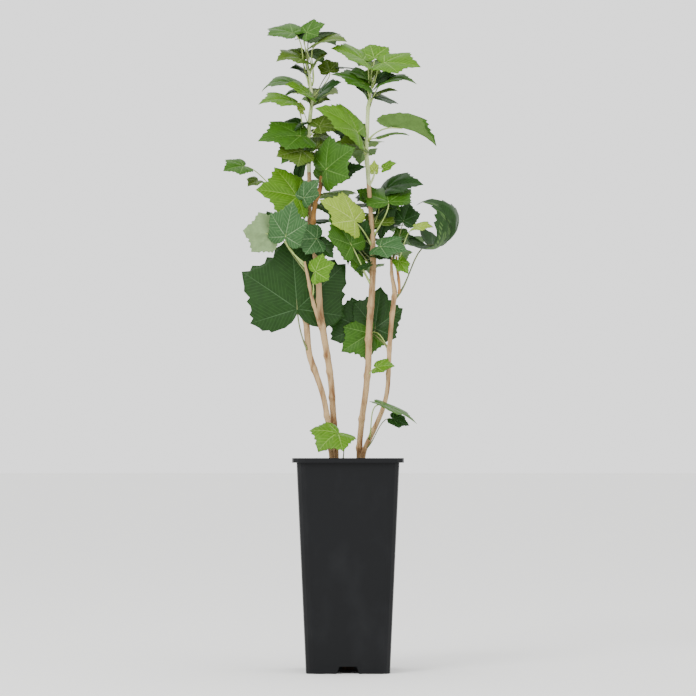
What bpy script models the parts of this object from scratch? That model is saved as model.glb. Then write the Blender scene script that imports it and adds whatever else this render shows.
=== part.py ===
"""Potted red currant: a tall square pot of potting mix, four canes and their leafy shoots.

Run it with blender --background --python part.py or from Blender's text editor. Lengths are metres.
The routes and leaves below are in millimetres from the middle of the pot's foot: right, back, up.
"""

import math
import random
from collections import namedtuple

import bmesh
import bpy
from mathutils import Matrix, Vector

MM = 0.001
CLEAR = 0.0003  # gap kept between neighbouring pieces

# Ways to join a mass, tried in turn: the Boolean's solver, and how near its vertices are welded.
JOINS = (("EXACT", 4e-6), ("MANIFOLD", 4e-6), ("MANIFOLD", 1e-5), ("MANIFOLD", 2e-5), ("EXACT", 4e-5))

# Pot: a thin moulded square container with a skirted rim.
POT_HEIGHT = 0.250
RIM_WIDTH = 0.130
RIM_SKIRT = 0.0055
BODY_TOP = 0.120
BODY_FOOT = 0.098
POT_WALL = 0.0015
TOP_CORNER = 0.010
FOOT_CORNER = 0.009
CORNER_POINTS = 4
DRAIN_FOOT_WIDTH = 0.027
DRAIN_ROOF_WIDTH = 0.020
DRAIN_HEIGHT = 0.0085
DRAIN_REACH = 0.030
DRAIN_SLOT = (0.014, 0.005)
SOIL_LEVEL = 0.236

# Leaves and stalks.
LEAF_THICKNESS = 0.0009
LEAF_POINTS = 14
LOBES = ((0, 0.42, 25), (51, 0.31, 21), (103, 0.10, 24))  # bearing, height, spread of each lobe
LOBE_FLOOR = 0.58
BASE_NOTCH = (0.52, 46)
NATURAL_WIDTH = 1.36  # full width of an unstretched leaf over its length
STALK_RADIUS = 0.0011
CUP = 0.16
BENT_LEAF = 45

Leaf = namedtuple("Leaf", "height base tip width lean droop fold side", defaults=(50, 20, 12, 0))

# Cane routes: right, back, up and radius, from the potting mix upwards.
ROUTES = {
    "left": (
        (-18, -6, 236, 3.6), (-20, -6, 264, 3.4), (-23, -5, 289, 3.3), (-29, -3, 322, 3.3),
        (-37, -2, 347, 3.5), (-46, 0, 374, 3.7), (-49, 2, 407, 3.7), (-52, 3, 430, 3.5),
        (-52, 4, 452, 3.2), (-49, 4, 482, 2.9), (-46, 4, 525, 2.6), (-46, 4, 576, 2.5),
        (-47, 1, 626, 2.5), (-45, 0, 655, 2.4), (-43, 0, 676, 2.1), (-46, -1, 706, 1.4),
        (-50, -2, 722, 0.9),
    ),
    "centre": (
        (-14, 6, 235, 3.9), (-16, 5, 280, 3.8), (-18, 2, 310, 3.7), (-20, 0, 340, 3.7),
        (-25, -5, 374, 3.8), (-30, -8, 404, 3.9), (-33, -9, 425, 3.5), (-35, -10, 460, 3.4),
        (-39, -9, 492, 3.2), (-41, -8, 525, 3.0), (-39, -7, 550, 2.9), (-33, -4, 569, 2.7),
        (-31, -2, 586, 2.4), (-30, 0, 604, 1.8),
    ),
    "side": (
        (-33, -12.2, 404, 1.9), (-36, -17, 416, 2.1), (-42, -24, 437, 2.0), (-46, -28, 457, 1.9),
        (-51, -33, 480, 1.4),
    ),
    "right": (
        (13, 6, 236, 3.5), (14, 5, 270, 3.5), (17, 4, 300, 3.6), (21, 4, 328, 3.7),
        (24, 3, 362, 3.8), (25, 2, 400, 3.9), (28, 1, 441, 3.9), (30, 1, 484, 3.6),
        (29, 1, 511, 3.1), (26, 1, 554, 2.6), (24, 1, 584, 2.6), (22, 0, 616, 2.5),
        (23, 0, 644, 2.4), (24, 0, 665, 2.2), (27, 0, 685, 1.7), (31, 0, 702, 1.0),
    ),
    "far_right": (
        (16, -8, 236, 3.1), (19, -8, 258, 3.0), (28, -9, 278, 2.9), (38, -10, 300, 2.8),
        (44, -11, 318, 2.7), (47, -11, 336, 2.7), (48, -11, 357, 2.7), (49, -10, 379, 2.8),
        (51, -9, 407, 2.7), (54, -8, 434, 2.9), (55, -8, 447, 2.9), (52, -6, 466, 2.1),
        (51, -4, 488, 1.4),
    ),
    "red": (
        (59.6, -9.3, 444, 1.5), (60.6, -10.5, 449, 1.7), (60, -12, 460, 1.7), (58, -13, 474, 1.5),
        (57, -13, 488, 1.1),
    ),
    "spur": ((-46, 4, 535, 1.7), (-58, -3, 546, 1.6), (-77, -9, 562, 1.2)),
    "young": ((25, 0, 572, 1.3), (30, -5, 582, 1.2), (33, -9, 594, 0.8)),
}

# Leaves of each shoot: height on the shoot, blade's foot, blade's tip, width across, then in degrees
# the lean of its face to the front, its droop along the rib, its fold about the rib and its face to the side.
LEFT_TOP = (
    Leaf(697, (-66, 6, 756), (-97, 26, 764), 46, 31),
    Leaf(708, (-52, 12, 754), (-50, 32, 770), 22, 60, 10),
    Leaf(706, (-49, -4, 755), (-27, -12, 764), 26, 65, 15),
    Leaf(692, (-38, -8, 740), (-1, -24, 741), 48, 24, 50),
    Leaf(690, (-54, 4, 724), (-85, -12, 719), 46, 32, 60),
    Leaf(682, (-66, 16, 697), (-104, 24, 689), 40, 24, 70),
    Leaf(672, (-46, -12, 680), (-74, -28, 690), 34, 38, 20),
    Leaf(677, (-22, 14, 712), (-26, 28, 728), 26, 70, 10),
    Leaf(676, (-10, 18, 716), (16, 26, 713), 22, 12, 20),
    Leaf(668, (-31, -8, 683), (-8, -20, 694), 32, 38, 20),
)
LEFT_UPPER = (
    Leaf(626, (-66, -14, 671), (-105, -30, 665), 44, 30, 50),
    Leaf(602, (-56, -16, 630), (-106, -38, 622), 52, 50, 25),
    Leaf(600, (-55, -22, 612), (-84, -44, 602), 44, 65, 10),
    Leaf(596, (-54, 9, 604), (-61, 16, 574), 18, 55, 12, 40),
    Leaf(603, (-37, -2, 618), (-36, 18, 634), 26, 60, 15),
    Leaf(632, (-34, -6, 643), (-4, 8, 650), 36, 42, 25),
    Leaf(646, (-54, -8, 662), (-62, -16, 670), 12, 60, 10),
)
LEFT_MIDDLE = (
    Leaf(552, (-52, -22, 556), (-34, -32, 577), 26, 75, 10),
)
SPUR = (
    Leaf(561, (-124, -10, 595), (-147, -24, 588), 34, 45),
    Leaf(546, (-60, -18, 558), (-108, -40, 564), 64, 66),
)
SIDE = (
    Leaf(441, (-38, -36, 468), (-15, -50, 477), 34, 75, 10),
    Leaf(478, (-73, -40, 509), (-64, -56, 549), 46, 70, 15),
    Leaf(474, (-90, -34, 512), (-123, -50, 515), 48, -80, 10),
    Leaf(468, (-84, -22, 520), (-96, -14, 541), 28, 60, 10),
)
CENTRE = (
    Leaf(512, (-37, -20, 508), (-69, -34, 505), 40, 75, 10),
    Leaf(509, (-34, -16, 502), (-17, -24, 485), 26, 60, 10),
    Leaf(576, (-26, -18, 590), (8, -40, 614), 62, 66),
    Leaf(578, (-20, -4, 583), (21, -10, 594), 40, 40),
)
RIGHT_MIDDLE = (
    Leaf(502, (7, -24, 529), (-33, -44, 552), 48, 60),
    Leaf(456, (4, -16, 501), (-24, -34, 541), 42, 60, 15),
    Leaf(476, (1, -6, 501), (0, -14, 477), 14, 60, 10, 40),
    Leaf(484, (17, 14, 500), (12, 28, 529), 30, 60, 10),
    Leaf(482, (24, -9, 478), (7, -14, 470), 9, 40, 10),
    Leaf(514, (48, -4, 553), (44, 28, 574), 60, 50, 20),
    Leaf(522, (32, 10, 558), (10, 16, 570), 26, 60, 10),
    Leaf(548, (46, 20, 571), (90, 8, 575), 42, 42, 50),
    Leaf(530, (46, 12, 546), (38, 14, 508), 26, 60, 10),
    Leaf(494, (38, -18, 499), (70, -38, 492), 36, 55),
    Leaf(556, (28, 22, 565), (8, 36, 562), 28, 42),
)
RIGHT_UPPER = (
    Leaf(610, (11, -20, 634), (-39, -38, 660), 44, 50, 50),
    Leaf(632, (12, 26, 640), (-18, 36, 642), 34, 50, 10),
    Leaf(626, (53, -18, 640), (104, -32, 616), 46, 5, 45, 65),
)
YOUNG = (
    Leaf(586, (31, -8, 589), (31, -15, 602), 11, 60, 10),
    Leaf(592, (43, -12, 593), (57, -20, 598), 14, 60, 10),
)
RIGHT_TOP = (
    Leaf(686, (18, -12, 721), (-20, -24, 733), 46, 35, 25),
    Leaf(694, (31, 2, 726), (26, 20, 745), 42, 50, 10),
    Leaf(690, (43, -10, 718), (86, -24, 711), 46, 42, 20),
    Leaf(679, (19, -10, 693), (-20, -18, 702), 38, 35, 35),
    Leaf(673, (40, -6, 694), (82, -14, 693), 34, 24, 60),
    Leaf(666, (34, 6, 680), (60, 16, 672), 26, 30, 10),
)
TAN_SHOOT = (
    Leaf(484, (66, 14, 532), (74, 26, 555), 34, 60, 10),
)
RED_SHOOT = (
    Leaf(480, (80, -34, 521), (100, -46, 519), 16, 50, 30),
    Leaf(478, (60, -18, 482), (71, -26, 466), 18, 70, 10),
)

# Leaves that spring from a bare cane, or from the potting mix, are pieces of their own.
BIG_LEFT = (Leaf(377, (-60, -6, 426), (-67, -5, 515), 122, 88, 6, 0, 3),)
CURLED = (
    Leaf(438, (104, -10, 501), (84, -22, 548), 56, 90, 225, 0, 53),
)
LOW_BACK = (
    Leaf(378, (15, 18, 405), (-27, 22, 425), 58, 80, 10),
    Leaf(378, (32, 16, 404), (39, 24, 454), 60, 80, 10),
    Leaf(378, (26, 14, 398), (-8, 10, 376), 48, 80, 10),
)
SMALL_LOW = (Leaf(348, (34, -14, 357), (55, -26, 358), 20, 60, 30),)
LOW_RIGHT = (
    Leaf(272, (40, -40, 312), (80, -50, 290), 40, 5, 20),
)
LOW_RIGHT_UNDER = (
    Leaf(262, (53, -26, 296), (72, -28, 288), 18, 60, 10),
)
LOW_FRONT = Leaf(0, (-12, -30, 279), (-35, -44, 257), 54, 40, 50)
LOW_FRONT_FOOT = (-8, -19)

# Leaves of the far side: height on the shoot, bearing and the stalk's rise, with the rest by a seeded rule.
FAR_STALK = (30, 42)
FAR_BLADE = (40, 52)
FAR_SEED = 11
FAR_LEAVES = {
    "left_top": ("left", ((718, 60, 72), (672, 80, 35))),
    "left_upper": ("left", ((616, 88, 28),)),
    "left_middle": ("left", ((565, 104, 28), (520, 92, 22))),
    "centre": ("centre", ((592, 88, 36), (548, 70, 28))),
    "right_middle": ("right", ((535, 84, 33), (505, 72, 33), (474, 96, 33))),
    "right_upper": ("right", ((612, 100, 30),)),
    "right_top": ("right", ((690, 85, 58),)),
    "tan_shoot": ("far_right", ((480, 50, 62),)),
}

# Greens and barks, as plain colours.
BARK = ((0.52, 0.40, 0.27), 0.75)
GREEN_WOOD = ((0.36, 0.40, 0.14), 0.6)
FOLIAGE = ((0.10, 0.20, 0.02), 0.5)
DARK_FOLIAGE = ((0.03, 0.08, 0.015), 0.5)
POT_BLACK = ((0.035, 0.037, 0.042), 0.45)
SOIL = ((0.045, 0.028, 0.018), 0.95)


def in_metres(place):
    return Vector(place) * MM


def material(name, finish):
    colour, roughness = finish
    made = bpy.data.materials.new(name)
    made.use_nodes = True
    shader = made.node_tree.nodes["Principled BSDF"]
    shader.inputs["Base Color"].default_value = (*colour, 1)
    shader.inputs["Roughness"].default_value = roughness
    return made


def clear_scene():
    for thing in list(bpy.data.objects):
        bpy.data.objects.remove(thing, do_unlink=True)


def keep(bm, name):
    """The bmesh as an object in the plant's collection."""
    mesh = bpy.data.meshes.new(name)
    bm.to_mesh(mesh)
    bm.free()
    made = bpy.data.objects.new(name, mesh)
    PLANT.objects.link(made)
    return made


def evaluated_mesh(thing):
    graph = bpy.context.evaluated_depsgraph_get()
    return bpy.data.meshes.new_from_object(thing.evaluated_get(graph))


class Shoot:
    """A smooth tapering route that rises all the way, read by height."""

    def __init__(self, points, steps=8):
        rows = [Vector((x, y, z, r)) * MM for x, y, z, r in points]
        ends = [rows[0] * 2 - rows[1], *rows, rows[-1] * 2 - rows[-2]]
        self.rows = []
        for a, b, c, d in zip(ends, ends[1:], ends[2:], ends[3:]):
            for step in range(steps):
                t = step / steps
                self.rows.append(
                    (b * 2 + (c - a) * t + (a * 2 - b * 5 + c * 4 - d) * t**2 + (b * 3 - a - c * 3 + d) * t**3) / 2
                )
        self.rows.append(rows[-1])

    def at(self, height):
        """Centre, radius and direction at a height in metres."""
        last = len(self.rows) - 2
        index = next((i for i in range(last) if self.rows[i + 1].z >= height), last)
        low, high = self.rows[index], self.rows[index + 1]
        share = min(max((height - low.z) / (high.z - low.z), 0), 1)
        row = low.lerp(high, share)
        return row.xyz, row.w, (high.xyz - low.xyz).normalized()

    def stretch(self, low, high, spacing):
        """Centres and radii between two heights, about this far apart."""
        count = max(2, round((high - low) / spacing))
        return [self.at(low + (high - low) * i / count)[:2] for i in range(count + 1)]


def tube(name, stations, rings):
    """A tapering round limb through (centre, radius) stations, as a closed mesh."""
    curve = bpy.data.curves.new(name, "CURVE")
    curve.dimensions = "3D"
    curve.bevel_depth = 1
    curve.bevel_resolution = rings
    curve.use_fill_caps = True
    line = curve.splines.new("POLY")
    line.points.add(len(stations) - 1)
    for point, (centre, radius) in zip(line.points, stations):
        point.co = (*centre, 1)
        point.radius = radius
    thing = bpy.data.objects.new(name, curve)
    PLANT.objects.link(thing)
    bm = bmesh.new()
    bm.from_mesh(evaluated_mesh(thing))
    bmesh.ops.remove_doubles(bm, verts=bm.verts, dist=1e-6)
    bmesh.ops.recalc_face_normals(bm, faces=bm.faces)
    bpy.data.objects.remove(thing, do_unlink=True)
    return keep(bm, name)


def lobe_radius(bearing):
    """The leaf's outline about its foot, where the tip is 1: five lobes and a notch at the stalk."""
    turn = abs(math.degrees(bearing))
    radius = LOBE_FLOOR
    for centre, height, spread in LOBES:
        radius += height * math.exp(-(((turn - centre) / spread) ** 2))
    depth, spread = BASE_NOTCH
    return radius - depth * math.exp(-(((turn - 180) / spread) ** 2))


class Blade:
    """A leaf's surface: the rib is an arc from foot to tip, and each side folds up and cups down from it."""

    def __init__(self, leaf):
        self.base, tip = in_metres(leaf.base), in_metres(leaf.tip)
        lean, side = math.radians(leaf.lean), math.radians(leaf.side)
        chord = tip - self.base
        self.along = chord.normalized()
        face = Vector((math.sin(side), -math.sin(lean) * math.cos(side), math.cos(lean) * math.cos(side)))
        self.up = (face - self.along * face.dot(self.along)).normalized()
        self.across = self.along.cross(self.up)
        self.turn = math.radians(max(leaf.droop, 1))
        self.length = chord.length * self.turn / (2 * math.sin(self.turn / 2))
        self.fold = math.radians(leaf.fold)
        self.stretch = leaf.width * MM / (NATURAL_WIDTH * self.length)
        self.half_width = leaf.width * MM / 2

    def frame(self, distance):
        """Place on the rib, its direction and the blade's upward side there."""
        angle = self.turn / 2 - self.turn * distance / self.length
        bend = self.length / self.turn
        half = self.turn / 2
        place = self.base + self.along * bend * (math.sin(half) - math.sin(angle))
        place += self.up * bend * (math.cos(angle) - math.cos(half))
        ahead = self.along * math.cos(angle) + self.up * math.sin(angle)
        return place, ahead, self.up * math.cos(angle) - self.along * math.sin(angle)

    def point(self, bearing, reach):
        """The surface at a bearing from the rib, at this share of the way to the edge."""
        radius = lobe_radius(bearing) * reach * self.length
        side = math.sin(bearing) * radius * self.stretch
        place, _, upward = self.frame(math.cos(bearing) * radius)
        lift = abs(side) * math.sin(self.fold) - CUP * side**2 / self.half_width
        return place + self.across * side * math.cos(self.fold) + upward * lift


def blade_mesh(name, leaf):
    """A lobed plate: a fan about the stalk, with a second ring where the leaf is bent."""
    blade = Blade(leaf)
    bm = bmesh.new()
    fan = bmesh.ops.create_circle(bm, cap_ends=True, cap_tris=True, segments=LEAF_POINTS, radius=1)["verts"]
    rim = sorted((v for v in fan if v.co.length > 0.5), key=lambda v: math.atan2(v.co.y, v.co.x))
    bearings = [2 * math.pi * i / LEAF_POINTS - math.pi for i in range(LEAF_POINTS)]
    bent = leaf.droop + abs(leaf.fold) > BENT_LEAF
    for vert, bearing in zip(rim, bearings):
        vert.co = blade.point(bearing, 0.5 if bent else 1)
    next(v for v in fan if v not in rim).co = blade.point(0, 0)
    if bent:
        edges = [e for e in bm.edges if e.is_boundary]
        grown = bmesh.ops.extrude_edge_only(bm, edges=edges)["geom"]
        outer = [v for v in grown if isinstance(v, bmesh.types.BMVert)]
        for vert in outer:
            inner = next(e.other_vert(vert) for e in vert.link_edges if e.other_vert(vert) in rim)
            vert.co = blade.point(bearings[rim.index(inner)], 1)
    bmesh.ops.triangulate(bm, faces=bm.faces)
    bmesh.ops.recalc_face_normals(bm, faces=bm.faces)
    bmesh.ops.solidify(bm, geom=bm.faces[:], thickness=LEAF_THICKNESS)
    bmesh.ops.recalc_face_normals(bm, faces=bm.faces)
    return keep(bm, name)


def stalk_mesh(name, leaf, foot, away):
    """A stalk that leaves its shoot in one direction and runs on under the blade's rib."""
    blade = Blade(leaf)
    _, ahead, upward = blade.frame(0)
    reach = (blade.base - foot).length
    controls = (foot, foot + away * reach * 0.35, blade.base - ahead * reach * 0.35, blade.base)
    stations = []
    for step in range(4):
        t = step / 3
        weights = ((1 - t) ** 3, 3 * t * (1 - t) ** 2, 3 * t * t * (1 - t), t**3)
        place = sum((c * w for c, w in zip(controls, weights)), Vector())
        stations.append((place, STALK_RADIUS))
    under, _, upward = blade.frame(blade.length * 0.14)
    stations[-1] = (stations[-1][0] - upward * LEAF_THICKNESS * 0.3, STALK_RADIUS)
    stations.append((under - upward * LEAF_THICKNESS * 0.3, STALK_RADIUS * 0.5))
    return tube(name, stations, 0)


def leaf_pieces(leaf, shoot, apart=False):
    """Stalk and blade. A piece of its own starts just clear of the cane, any other inside its shoot."""
    foot, radius, ahead = shoot.at(leaf.height * MM)
    out = in_metres(leaf.base) - foot
    out = (out - ahead * out.dot(ahead)).normalized()
    if apart:
        foot = foot + out * (radius + CLEAR + STALK_RADIUS)
        away = (out * 0.8 + ahead * 0.6).normalized()
    else:
        away = (out * 0.6 + ahead * 0.8).normalized()
    return [stalk_mesh("stalk", leaf, foot, away), blade_mesh("blade", leaf)]


def largest_shell(bm):
    """Keeps the outermost body of a fused mesh: scraps and sealed hollows go."""
    left = set(bm.faces)
    shells = []
    while left:
        todo, shell = [left.pop()], []
        while todo:
            face = todo.pop()
            shell.append(face)
            near = {other for edge in face.edges for other in edge.link_faces} & left
            left -= near
            todo.extend(near)
        shells.append(shell)
    shells.sort(key=len)
    for shell in shells[:-1]:
        bmesh.ops.delete(bm, geom=shell, context="FACES")


def joined(body, others, solver):
    """The union of a body with a collection, as a new bmesh."""
    join = body.modifiers.new("Join", "BOOLEAN")
    join.operation = "UNION"
    join.operand_type = "COLLECTION"
    join.collection = others
    join.solver = solver
    bm = bmesh.new()
    bm.from_mesh(evaluated_mesh(body))
    body.modifiers.clear()
    return bm


def fuse(name, pieces, finish):
    """One body from the pieces, by a Boolean union on their collection, welded until every edge has two faces."""
    body = pieces[0]
    others = bpy.data.collections.new("joined")
    bpy.context.scene.collection.children.link(others)
    for piece in pieces[1:]:
        PLANT.objects.unlink(piece)
        others.objects.link(piece)
    for solver, weld in JOINS:
        bm = joined(body, others, solver)
        bmesh.ops.triangulate(bm, faces=bm.faces)
        bmesh.ops.remove_doubles(bm, verts=bm.verts, dist=weld)
        bmesh.ops.dissolve_degenerate(bm, dist=weld, edges=bm.edges)
        bmesh.ops.triangulate(bm, faces=bm.faces)
        largest_shell(bm)
        if all(edge.is_manifold for edge in bm.edges):
            break
    for piece in (body, *pieces[1:]):
        bpy.data.objects.remove(piece, do_unlink=True)
    bpy.data.collections.remove(others)
    made = keep(bm, name)
    made.data.materials.append(finish)
    return made


def far_leaves(mass):
    """Leaves of the side away from the front, by a seeded rule."""
    shoot_name, rows = FAR_LEAVES.get(mass, ("left", ()))
    rng = random.Random(f"{mass} {FAR_SEED}")
    for height, bearing, rise in rows:
        foot, _, _ = SHOOTS[shoot_name].at(height * MM)
        foot = foot / MM
        rise, fall = math.radians(rise), math.radians(rng.uniform(2, 14))
        turn = math.radians(bearing)
        turned = math.radians(bearing + rng.uniform(-14, 14))
        stalk, blade = rng.uniform(*FAR_STALK), rng.uniform(*FAR_BLADE)
        base = foot + Vector((math.cos(turn), math.sin(turn), math.tan(rise))) * stalk * math.cos(rise)
        tip = base + Vector((math.cos(turned), math.sin(turned), -math.tan(fall))) * blade * math.cos(fall)
        yield shoot_name, Leaf(height, tuple(base), tuple(tip), blade * 1.12, rng.uniform(-15, 5), rng.uniform(20, 45))


def mass(name, shoots, rows, finish):
    """Leafy stretches of shoots, each (shoot, from height, to height), with the rows of leaves of each shoot."""
    pieces = []
    for shoot, start, stop in shoots:
        stations = SHOOTS[shoot].stretch(start * MM, stop * MM, 0.024)
        pieces.append(tube("stem", stations, 1))
    for shoot, leaves in rows:
        for leaf in leaves:
            pieces += leaf_pieces(leaf, SHOOTS[shoot])
    for shoot, leaf in far_leaves(name):
        pieces += leaf_pieces(leaf, SHOOTS[shoot])
    return fuse(f"{name}_leaves", pieces, finish)


def lone_leaves(name, leaves, shoot, finish):
    """Leaves on a bare cane, each joined to the next at the stalk's foot."""
    pieces = []
    for leaf in leaves:
        pieces += leaf_pieces(leaf, SHOOTS[shoot], apart=True)
    return fuse(name, pieces, finish)


def cane(name, shoot, low, high, finish):
    made = tube(name, SHOOTS[shoot].stretch(low * MM, high * MM, 0.018), 2)
    made.data.materials.append(finish)
    return made


def ring(bm, width, height, corner):
    """A rounded square of vertices at a height, from a circle pushed out to its four corners."""
    made = bmesh.ops.create_circle(bm, segments=4 * CORNER_POINTS, radius=1)["verts"]
    for index, vert in enumerate(made):
        quarter, step = divmod(index, CORNER_POINTS)
        angle = math.pi / 2 * (quarter + step / (CORNER_POINTS - 1))
        centre = Vector((math.cos(math.pi / 2 * (quarter + 0.5)), math.sin(math.pi / 2 * (quarter + 0.5)), 0))
        centre *= (width / 2 - corner) * math.sqrt(2)
        vert.co = centre + Vector((math.cos(angle), math.sin(angle), 0)) * corner + Vector((0, 0, height))
    return made


def loft(name, sections):
    """A closed shape through rounded squares given as (width, height, corner)."""
    bm = bmesh.new()
    rings = [ring(bm, *section) for section in sections]
    for low, high in zip(rings, rings[1:]):
        edges = [e for e in bm.edges if all(v in low for v in e.verts) or all(v in high for v in e.verts)]
        bmesh.ops.bridge_loops(bm, edges=edges)
    for end in (rings[0], rings[-1]):
        bmesh.ops.contextual_create(bm, geom=end)
    bmesh.ops.recalc_face_normals(bm, faces=bm.faces)
    return keep(bm, name)


def side_channels(grow):
    """The four drain channels that run in from the foot of each side, larger all round by grow."""
    made = []
    inner = BODY_FOOT / 2 - DRAIN_REACH - grow
    outer = BODY_FOOT / 2 + (0.01 if grow == 0 else 0)
    for quarter in range(4):
        bm = bmesh.new()
        bmesh.ops.create_cube(bm, size=1)
        for vert in bm.verts:
            top = vert.co.z > 0
            width = (DRAIN_ROOF_WIDTH if top else DRAIN_FOOT_WIDTH) + 2 * grow
            depth = -outer if vert.co.y < 0 else -inner
            foot = -0.002 if grow == 0 else POT_WALL / 2
            vert.co = Vector((vert.co.x * width, depth, DRAIN_HEIGHT + grow if top else foot))
        bmesh.ops.rotate(bm, verts=bm.verts, matrix=Matrix.Rotation(quarter * math.pi / 2, 3, "Z"))
        made.append(keep(bm, f"channel_{quarter}"))
    return made


def drain_slots():
    """A slot through the inner end of each channel, from under the floor into the pot."""
    made = []
    wide, high = DRAIN_SLOT
    for quarter in range(4):
        bm = bmesh.new()
        bmesh.ops.create_cube(bm, size=1)
        bmesh.ops.scale(bm, vec=(wide, 0.006, high), verts=bm.verts)
        place = Vector((0, DRAIN_REACH - BODY_FOOT / 2, DRAIN_HEIGHT / 2))
        bmesh.ops.translate(bm, vec=place, verts=bm.verts)
        bmesh.ops.rotate(bm, verts=bm.verts, matrix=Matrix.Rotation(quarter * math.pi / 2, 3, "Z"))
        made.append(keep(bm, f"slot_{quarter}"))
    return made


def combine(body, tools, operation):
    """Joins the tools to the body or cuts them out of it, then removes them."""
    group = bpy.data.collections.new("tools")
    bpy.context.scene.collection.children.link(group)
    for tool in tools:
        PLANT.objects.unlink(tool)
        group.objects.link(tool)
    change = body.modifiers.new(operation, "BOOLEAN")
    change.operation = operation
    change.operand_type = "COLLECTION"
    change.collection = group
    mesh = evaluated_mesh(body)
    body.modifiers.clear()
    body.data = mesh
    for tool in tools:
        bpy.data.objects.remove(tool, do_unlink=True)
    bpy.data.collections.remove(group)


def pot(finish):
    """Wall, skirted rim and floor in one moulding, with a drain channel in from each side."""
    under_rim = POT_HEIGHT - POT_WALL
    skirt_foot = POT_HEIGHT - RIM_SKIRT
    skirt_inside = RIM_WIDTH - 2 * POT_WALL
    body = loft("pot", (
        (BODY_FOOT, 0, FOOT_CORNER),
        (BODY_TOP, under_rim, TOP_CORNER),
        (skirt_inside, under_rim, TOP_CORNER + 0.003),
        (skirt_inside, skirt_foot, TOP_CORNER + 0.003),
        (RIM_WIDTH, skirt_foot, TOP_CORNER + 0.005),
        (RIM_WIDTH, POT_HEIGHT, TOP_CORNER + 0.005),
        (BODY_TOP - 2 * POT_WALL, POT_HEIGHT, TOP_CORNER - POT_WALL),
        (BODY_FOOT - 2 * POT_WALL, POT_WALL, FOOT_CORNER - POT_WALL),
    ))
    combine(body, side_channels(POT_WALL), "UNION")
    combine(body, side_channels(0) + drain_slots(), "DIFFERENCE")
    body.data.materials.append(finish)
    return body


def potting_mix(finish):
    """The filling, just clear of the wall, the floor and the drain channels."""
    foot = POT_WALL + CLEAR
    inset = 2 * POT_WALL + 2.2 * CLEAR
    level_share = SOIL_LEVEL / POT_HEIGHT
    level_width = BODY_FOOT + (BODY_TOP - BODY_FOOT) * level_share - inset
    body = loft("potting_mix", (
        (BODY_FOOT - inset, foot, FOOT_CORNER - POT_WALL - CLEAR),
        (level_width, SOIL_LEVEL, TOP_CORNER - POT_WALL - CLEAR),
    ))
    combine(body, side_channels(POT_WALL + 1.2 * CLEAR), "DIFFERENCE")
    body.data.materials.append(finish)
    return body


def sucker(name, leaf, foot, finish):
    """A leaf whose stalk rises straight from the potting mix."""
    start = Vector((*foot, SOIL_LEVEL / MM)) * MM + Vector((0, 0, CLEAR))
    pieces = [stalk_mesh("stalk", leaf, start, Vector((0.25, -0.2, 1)).normalized()), blade_mesh("blade", leaf)]
    return fuse(name, pieces, finish)


clear_scene()
PLANT = bpy.data.collections.new("potted_red_currant")
bpy.context.scene.collection.children.link(PLANT)
SHOOTS = {name: Shoot(points) for name, points in ROUTES.items()}

bark = material("currant_bark", BARK)
green_wood = material("green_wood", GREEN_WOOD)
foliage = material("foliage", FOLIAGE)
dark_foliage = material("dark_foliage", DARK_FOLIAGE)

pot(material("pot_plastic", POT_BLACK))
potting_mix(material("potting_mix", SOIL))

FOOT = SOIL_LEVEL / MM + 0.6
STEP = 1.0
cane("left_cane", "left", FOOT, 470, bark)
cane("centre_cane", "centre", FOOT, 505, bark)
cane("side_shoot", "side", 405.5, 436, bark)
cane("right_cane", "right", FOOT, 448, bark)
cane("far_right_cane", "far_right", FOOT, 447, bark)

mass("left_middle", (("left", 470 + STEP, 590), ("spur", 535, 562)),
     (("left", LEFT_MIDDLE), ("spur", SPUR)), foliage)
mass("left_upper", (("left", 590 + STEP, 655),), (("left", LEFT_UPPER),), foliage)
mass("left_top", (("left", 655 + STEP, 722),), (("left", LEFT_TOP),), foliage)
mass("side_shoot", (("side", 436 + STEP, 480),), (("side", SIDE),), foliage)
mass("centre", (("centre", 505 + STEP, 604),), (("centre", CENTRE),), foliage)
mass("right_middle", (("right", 448 + STEP, 560),), (("right", RIGHT_MIDDLE),), foliage)
mass("right_upper", (("right", 560 + STEP, 645), ("young", 572, 594)),
     (("right", RIGHT_UPPER), ("young", YOUNG)), foliage)
mass("right_top", (("right", 645 + STEP, 702),), (("right", RIGHT_TOP),), foliage)
mass("tan_shoot", (("far_right", 447 + STEP, 488),), (("far_right", TAN_SHOOT),), foliage)
mass("red_shoot", (("red", 444, 488),), (("red", RED_SHOOT),), foliage)

lone_leaves("big_left_leaf", BIG_LEFT, "left", dark_foliage)
lone_leaves("curled_right_leaf", CURLED, "far_right", dark_foliage)
lone_leaves("low_back_leaves", LOW_BACK, "far_right", dark_foliage)
lone_leaves("small_low_leaf", SMALL_LOW, "right", foliage)
lone_leaves("low_right_leaf", LOW_RIGHT, "far_right", foliage)
lone_leaves("low_right_under_leaf", LOW_RIGHT_UNDER, "far_right", dark_foliage)
sucker("low_front_leaf", LOW_FRONT, LOW_FRONT_FOOT, foliage)
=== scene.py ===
"""Looks of the potted currant: finished leaves, stalks, bark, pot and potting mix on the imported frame."""

import math
import random
from collections import namedtuple

import bmesh
import bpy
from mathutils import Matrix, Vector, noise


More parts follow.
